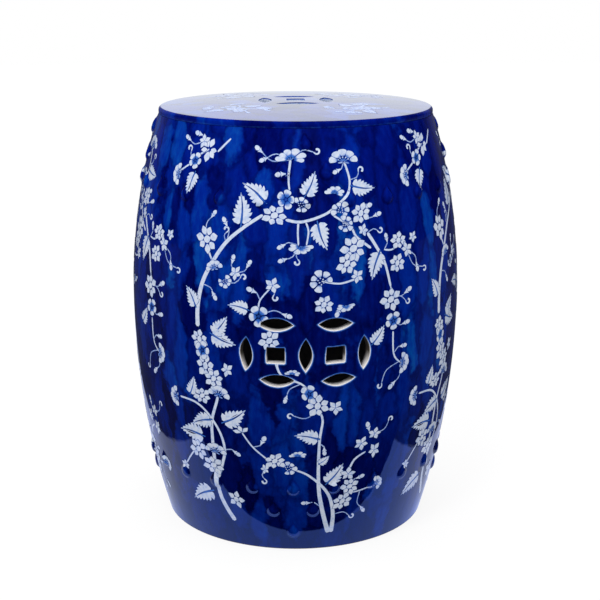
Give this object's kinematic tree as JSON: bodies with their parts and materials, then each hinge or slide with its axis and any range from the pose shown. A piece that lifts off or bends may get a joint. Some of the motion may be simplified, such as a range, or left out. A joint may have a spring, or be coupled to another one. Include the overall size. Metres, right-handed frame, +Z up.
{
  "type": "garden stool",
  "caption": "Barrel-shaped glazed ceramic garden stool with a domed seat, drop-shaped studs and coin-pattern openings cut through wall and seat.",
  "frame": {"origin": "middle of the footprint, on the surface that the stool stands on", "axes": "+Z up; the pierced pair of coins faces -Y, with its twin facing +Y; +X is to the viewer's right"},
  "size_m": [0.3526, 0.3526, 0.4505],
  "materials": {
    "cobalt_glaze": "clear glaze over brushed cobalt blue with white blossom branches",
    "foot_clay": "unglazed, trimmed flat"
  },
  "bodies": {
    "root": {"barrel_lower": "cobalt_glaze", "barrel_upper": "cobalt_glaze", "seat": "cobalt_glaze", "foot_ring": "foot_clay", "studs_upper_ring": "cobalt_glaze", "studs_upper_pairs": "cobalt_glaze", "studs_upper_tips": "cobalt_glaze", "studs_lower_ring": "cobalt_glaze", "studs_lower_pairs": "cobalt_glaze", "studs_lower_tips": "cobalt_glaze"}
  },
  "joints": []
}
